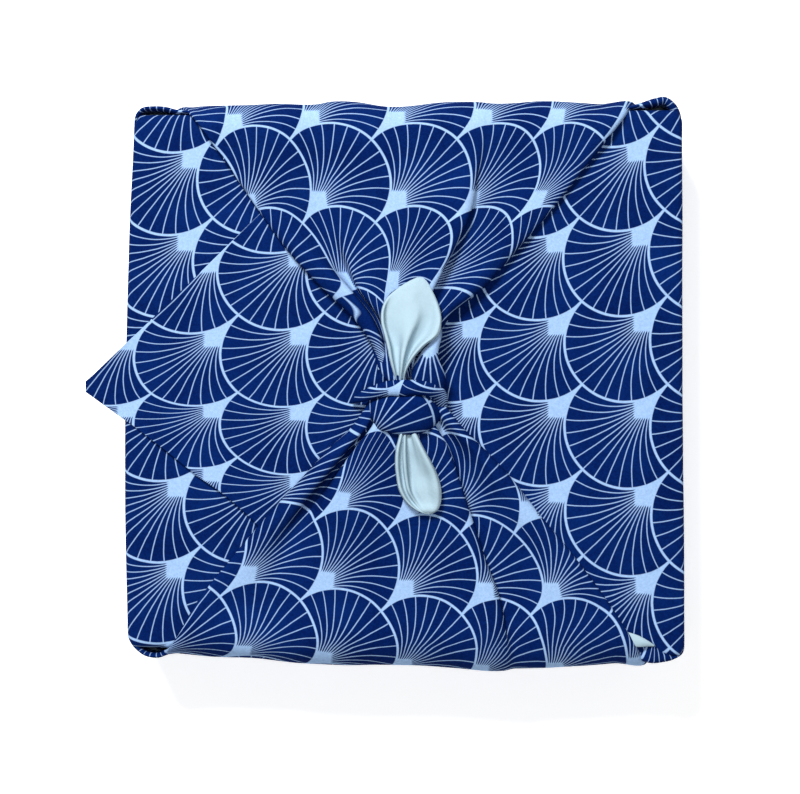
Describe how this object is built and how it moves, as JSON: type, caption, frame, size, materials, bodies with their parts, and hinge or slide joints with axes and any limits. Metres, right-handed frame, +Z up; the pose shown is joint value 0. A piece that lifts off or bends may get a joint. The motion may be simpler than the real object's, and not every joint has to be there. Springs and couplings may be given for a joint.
{
  "type": "furoshiki wrap",
  "caption": "Square cotton furoshiki cloth with a navy and pale blue fan print, wrapped round a flat square box and tied on top in a knot with pointed free ends.",
  "frame": {"origin": "middle of the parcel's underside, on the surface that it rests on", "axes": "+Z up; +X towards the right side, away from the flap's tip; +Y towards the back corner of the cloth"},
  "size_m": [0.3025, 0.2914, 0.0717],
  "materials": {
    "printed_cotton": "matt plain-weave cotton, navy with a pale blue fan print outside, pale blue-grey reverse"
  },
  "bodies": {
    "root": {"cloth": "printed_cotton"}
  },
  "joints": []
}
